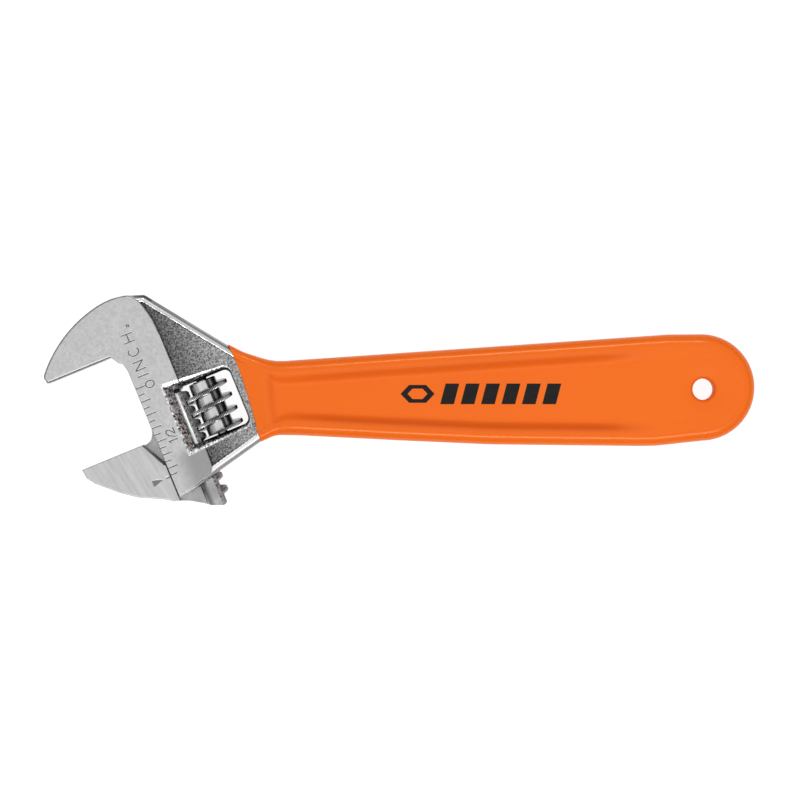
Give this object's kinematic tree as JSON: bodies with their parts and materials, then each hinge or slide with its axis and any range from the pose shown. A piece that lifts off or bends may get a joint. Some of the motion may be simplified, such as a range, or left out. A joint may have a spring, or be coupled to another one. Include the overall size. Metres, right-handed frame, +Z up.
{
  "type": "adjustable wrench",
  "caption": "Small adjustable wrench with an angled head, a worm-driven movable jaw and a vinyl-dipped handle with a hang hole.",
  "frame": {"origin": "centre of the bounding box at its bottom, under the middle of the wrench lying flat", "axes": "+X from the jaws to the end of the handle, +Y across the handle towards the back of the fixed jaw, +Z up through the thickness"},
  "size_m": [0.1584, 0.047, 0.011],
  "materials": {
    "forged_steel": "ground satin cheeks, plated forging",
    "worm_steel": "turned and plated",
    "vinyl": "dipped soft vinyl, glossy"
  },
  "bodies": {
    "body": {"wrench_body": "forged_steel", "grip": "vinyl", "worm_pin": "worm_steel", "worm_spring": "worm_steel"},
    "jaw": {"movable_jaw": "forged_steel"},
    "worm": {"worm": "worm_steel"}
  },
  "joints": [
    {"name": "jaw_slide", "type": "slide", "parent": "body", "child": "jaw", "axis": [0.3795, -0.9252, 0], "range_m": [-0.0207, 0.0032]},
    {"name": "worm_spin", "type": "hinge", "parent": "body", "child": "worm", "pos_m": [-0.04193, -0.00137, 0.0055], "axis": [-0.3795, 0.9252, 0], "range_deg": [-2350, 365]}
  ],
  "couplings": [
    {"joint": "worm_spin", "follows": "jaw_slide", "rad_per_m": 1979}
  ]
}
